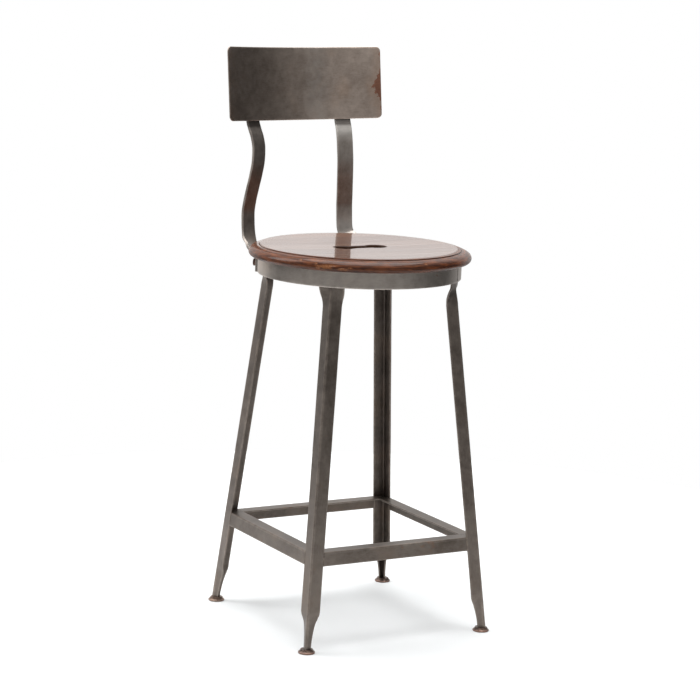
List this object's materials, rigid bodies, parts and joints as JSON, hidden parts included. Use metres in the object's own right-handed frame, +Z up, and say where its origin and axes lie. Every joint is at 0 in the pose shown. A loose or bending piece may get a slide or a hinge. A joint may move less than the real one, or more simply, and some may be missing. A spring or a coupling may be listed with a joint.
{
  "type": "bar stool",
  "caption": "Industrial bar stool: round wooden seat on a steel ring, four splayed angle-iron legs, a square footrest and a low curved metal backrest on bent straps.",
  "frame": {"origin": "centre of the stool's overall footprint box, on the floor", "axes": "+Z up; -Y is the front of the leg square, where a sitter's feet rest on the front bar; +X is to the right seen from the front. Left and right in node names are as seen from the front. The seat axis stands at Y = -13.9 mm."},
  "size_m": [0.4059, 0.4337, 1.0436],
  "materials": {
    "wood": "dark walnut stain under gloss lacquer",
    "frame_steel": "raw gunmetal steel, clear coated, warm grey-brown",
    "panel_steel": "raw gunmetal sheet, clear coated, rust patch at one edge",
    "pad_steel": "dark steel with coppery rust on the rims",
    "hardware": "dark oxide",
    "weld": "as welded, heat tinted"
  },
  "bodies": {
    "root": {"back_strap_left": "frame_steel", "back_strap_right": "frame_steel", "backrest_panel": "panel_steel", "backrest_welds": "weld", "foot_pad_front_left": "pad_steel", "foot_pad_front_right": "pad_steel", "foot_pad_rear_left": "pad_steel", "foot_pad_rear_right": "pad_steel", "footrest_bar_front": "frame_steel", "footrest_bar_left": "frame_steel", "footrest_bar_rear": "frame_steel", "footrest_bar_right": "frame_steel", "footrest_welds": "weld", "leg_front_left": "frame_steel", "leg_front_right": "frame_steel", "leg_rear_left": "frame_steel", "leg_rear_right": "frame_steel", "leg_ring_welds": "weld", "seat_ring": "frame_steel", "seat_screws": "hardware", "seat_tab_front": "frame_steel", "seat_tab_left": "frame_steel", "seat_tab_rear": "frame_steel", "seat_tab_right": "frame_steel", "strap_bolts": "hardware", "strap_nuts": "hardware", "strap_spacers": "hardware", "strap_washers": "hardware", "wood_seat": "wood"}
  },
  "joints": []
}
